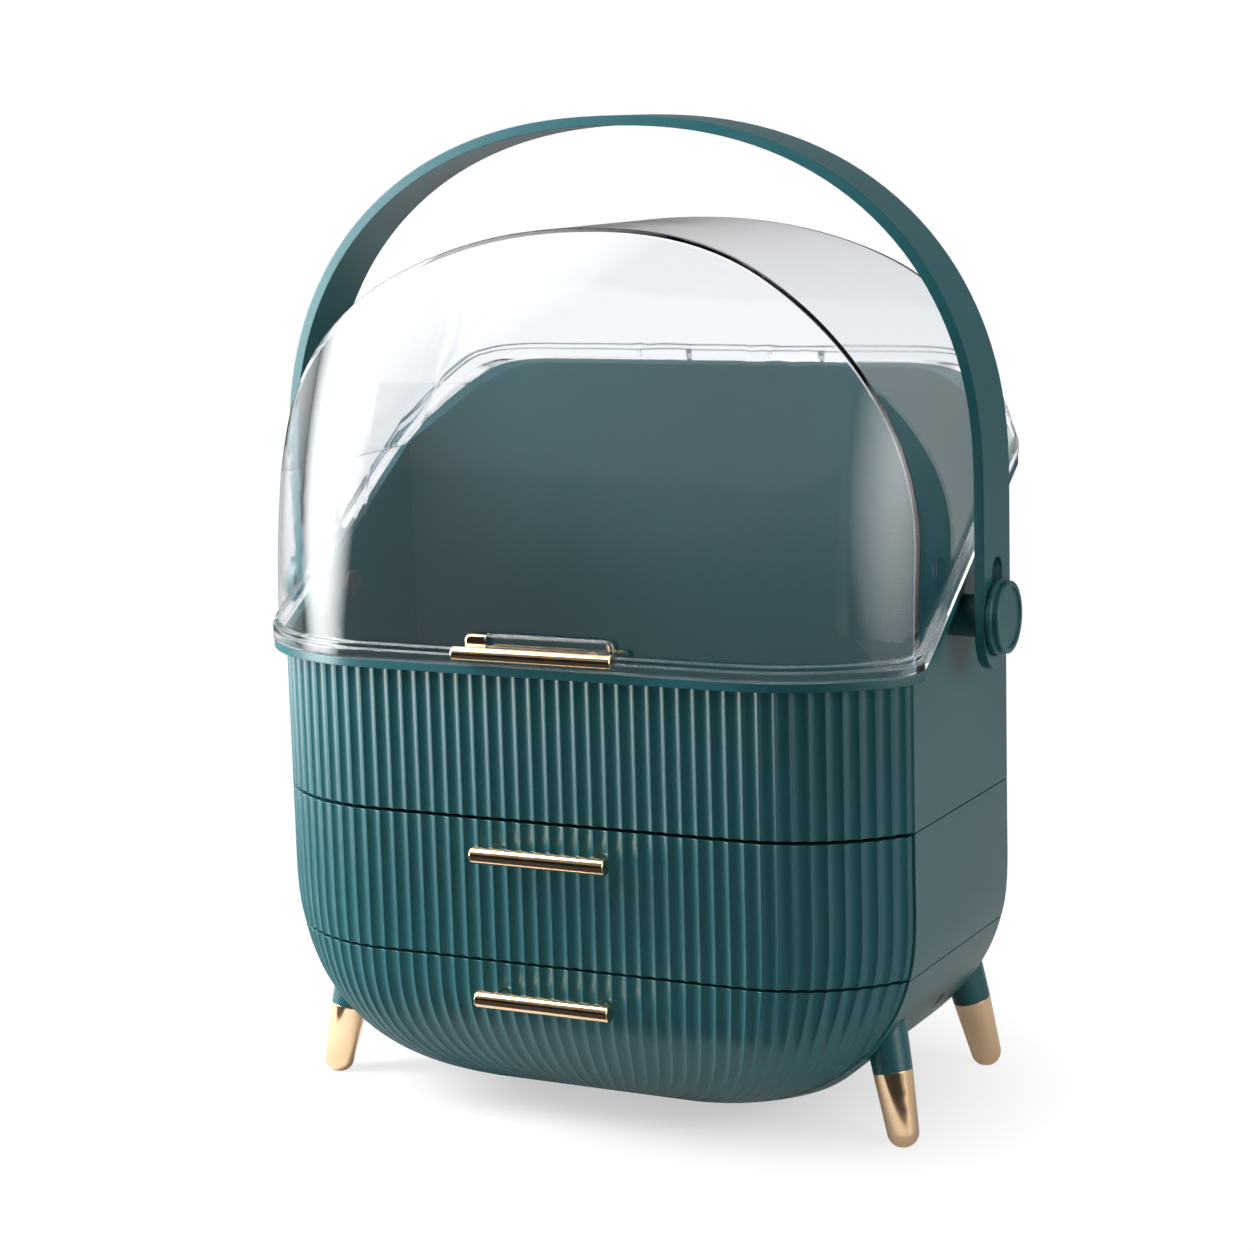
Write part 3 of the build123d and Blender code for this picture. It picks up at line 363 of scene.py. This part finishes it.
floor_paper = paper_finish("floor_paper")
print("glow makes", FAR_GLOW, "of the paper's look from", GLOW_ENDS, "m out")

# %% [markdown]
# The paper lies flat under the case and curves up behind it, as a roll of studio paper does, so
# that no line shows between floor and wall. One helper makes every sheet of the studio: the
# paper here, and the card and the lights below.

# %% Floor and backdrop
FLOOR_FRONT = -4.0
FLOOR_BACK = 3.0
FLOOR_HALF_WIDTH = 6.0
BEND = 2.0
BEND_STEPS = 12
WALL_TOP = 6


def sweep_sheet(name, corners, rows):
    """A smooth sheet through rows of corners."""
    mesh = bpy.data.meshes.new(name)
    per_row = len(corners) // rows
    faces = []
    for row in range(rows - 1):
        for step in range(per_row - 1):
            a = row * per_row + step
            faces.append((a, a + 1, a + per_row + 1, a + per_row))
    mesh.from_pydata(corners, [], faces)
    mesh.shade_smooth()
    sheet = bpy.data.objects.new(name, mesh)
    bpy.context.scene.collection.objects.link(sheet)
    return sheet


studio_line = [(FLOOR_FRONT, 0), (FLOOR_BACK, 0)]
for step in range(1, BEND_STEPS + 1):
    turn = math.radians(90 * step / BEND_STEPS)
    studio_line.append((FLOOR_BACK + BEND * math.sin(turn), BEND * (1 - math.cos(turn))))
studio_line.append((FLOOR_BACK + BEND, WALL_TOP))
floor_corners = [(x, y, z) for x in (-FLOOR_HALF_WIDTH, FLOOR_HALF_WIDTH) for y, z in studio_line]
floor = sweep_sheet("floor", floor_corners, 2)
floor.data.materials.append(floor_paper)
print("floor reaches from", FLOOR_FRONT, "to", FLOOR_BACK + BEND)

# %% [markdown]
# The world follows the same rule as the paper: white for the camera, dim for the light that it
# sheds on the case.

# %% World
SHED_LIGHT = 0.08
world = bpy.data.worlds.new("studio")
bpy.context.scene.world = world
world.use_nodes = True
sky = world.node_tree
level = sky.nodes.new("ShaderNodeMapRange")
level.inputs["To Min"].default_value = SHED_LIGHT
level.inputs["To Max"].default_value = 1.0
sky.links.new(white_share(sky), level.inputs["Value"])
sky.links.new(level.outputs["Result"], sky.nodes["Background"].inputs["Strength"])
sky.nodes["Background"].inputs["Color"].default_value = (1, 1, 1, 1)
print("world sheds light at", SHED_LIGHT)

# %% [markdown]
# ## Black card
#
# Product photographers stand a black card where the object mirrors the room, and so does this
# scene: the card lies on the floor in front and bends up behind the camera. Only reflections
# see it. It turns the lid's front clear and gives the bars their dark lines.

# %% Black card
CARD_LEFT = -57
CARD_RIGHT = 43
CARD_STEPS = 20
CARD_RADIUS = 2.4
CARD_HEIGHT = 1.0
CARD_NEAR_Y = -0.13
CARD_NEAR_X = (-1.6, 1.2)
CARD_LIFT = 0.003


def card_finish(name):
    """Black card, almost without gloss."""
    finish, tree, shader = new_finish(name)
    blacks = add_ramp(tree, add_noise(tree, 30, 3), grey(0.012), grey(0.02))
    tree.links.new(blacks, shader.inputs["Base Color"])
    shader.inputs["Roughness"].default_value = 0.9
    shader.inputs["Specular IOR Level"].default_value = 0.1
    return finish


near_row = []
far_row = []
for step in range(CARD_STEPS + 1):
    share = step / CARD_STEPS
    turn = math.radians(CARD_LEFT + (CARD_RIGHT - CARD_LEFT) * share)
    near_x = CARD_NEAR_X[0] + (CARD_NEAR_X[1] - CARD_NEAR_X[0]) * share
    near_row.append((near_x, CARD_NEAR_Y, CARD_LIFT))
    far_row.append((CARD_RADIUS * math.sin(turn), -CARD_RADIUS * math.cos(turn), CARD_LIFT))
top_row = [(x, y, CARD_HEIGHT) for x, y, lift in far_row]
card = sweep_sheet("front_card", near_row + far_row + top_row, 3)
card.data.materials.append(card_finish("black_card"))
card.visible_camera = False
card.visible_transmission = False
card.visible_diffuse = False
card.visible_shadow = False
print("card spans", CARD_RIGHT - CARD_LEFT, "degrees in front")

# %% [markdown]
# ## Soft boxes
#
# Soft boxes give the object its shape. They are glowing sheets that fade out towards their
# rims, so that their reflections in the lid have soft edges. Blender's own area lights have hard
# rims, which is why meshes stand in for them here.

# %% A helper for soft boxes
def glow_finish(name, radiance):
    """Light that is strongest in the middle of a sheet and fades out at its rim."""
    finish, tree = new_finish(name)[:2]
    place = tree.nodes.new("ShaderNodeTexCoord")
    fade = tree.nodes.new("ShaderNodeTexGradient")
    fade.gradient_type = "SPHERICAL"
    tree.links.new(place.outputs["Object"], fade.inputs["Vector"])
    strength = tree.nodes.new("ShaderNodeMath")
    strength.operation = "MULTIPLY"
    strength.inputs[1].default_value = radiance
    tree.links.new(fade.outputs["Fac"], strength.inputs[0])
    light = tree.nodes.new("ShaderNodeEmission")
    tree.links.new(strength.outputs[0], light.inputs["Strength"])
    tree.links.new(light.outputs[0], tree.nodes["Material Output"].inputs["Surface"])
    return finish


UNIT_SHEET = [(-1, -1, 0), (1, -1, 0), (-1, 1, 0), (1, 1, 0)]


def soft_box(name, place, target, width, height, radiance):
    """A glowing sheet aimed at a point, unseen by the camera."""
    sheet = sweep_sheet(name, UNIT_SHEET, 2)
    sheet.scale = (width / 2, height / 2, 1)
    sheet.location = place
    sheet.rotation_mode = "QUATERNION"
    sheet.rotation_quaternion = (Vector(target) - Vector(place)).to_track_quat("-Z", "Y")
    sheet.data.materials.append(glow_finish(name + "_glow", radiance))
    sheet.visible_camera = False
    return sheet


print("a soft box starts as a sheet with", len(UNIT_SHEET), "corners")

# %% [markdown]
# A tall box stands close on the left and rakes the flutes: each ridge catches a bright line, the
# hollow beside it falls into shade, and the light fades towards the right. A large dim one
# farther out fills in on that side. The one on the right lights the side wall and the right
# corner of the lid, and the one overhead the top and the floor.

# %% Soft boxes
MIDDLE = (0, 0, 0.2)
FLUTES = (-0.08, -0.08, 0.22)
side_boxes = [
    soft_box("left_strip", (-0.46, -0.26, 0.42), FLUTES, 0.45, 1.2, 34),
    soft_box("left_box", (-1.5, 0.3, 0.7), MIDDLE, 1.5, 1.5, 3.4),
    soft_box("right_box", (1.5, -0.35, 0.6), MIDDLE, 1.7, 1.7, 8.8),
]
for box in side_boxes:
    box.visible_transmission = False
top_box = soft_box("top_box", (-0.1, 0.1, 1.8), MIDDLE, 1.6, 1.4, 9.5)
print("soft boxes:", [box.name for box in side_boxes + [top_box]])
